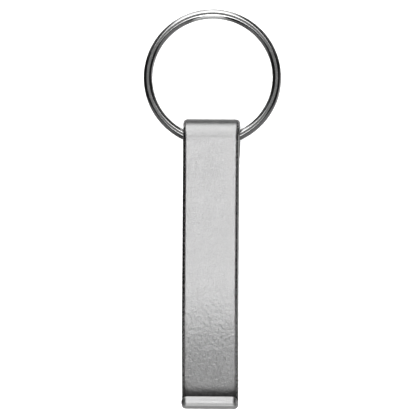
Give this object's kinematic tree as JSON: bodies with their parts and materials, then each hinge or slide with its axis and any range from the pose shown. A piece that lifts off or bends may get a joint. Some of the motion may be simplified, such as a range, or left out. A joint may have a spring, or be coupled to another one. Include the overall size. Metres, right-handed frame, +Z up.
{
  "type": "keychain bottle opener",
  "caption": "Slim keychain bottle opener: a bent satin aluminium strip with an upturned claw, its curled eye running on a polished steel split ring.",
  "frame": {"origin": "on the surface that the opener lies on, under the middle of the whole object's box", "axes": "+X across the strip, +Y from the claw to the split ring, +Z up, out of the front face"},
  "size_m": [0.032, 0.093, 0.0094],
  "materials": {
    "opener_body": "satin, bead blasted and clear anodised",
    "split_ring": "polished nickel plate"
  },
  "bodies": {
    "opener": {"opener_body": "opener_body"},
    "ring": {"split_ring": "split_ring"}
  },
  "joints": [
    {"name": "ring_swing", "type": "hinge", "parent": "opener", "child": "ring", "pos_m": [0, 0.01614, 0.0047], "axis": [1, 0, 0], "range_deg": [-173, 175]}
  ]
}
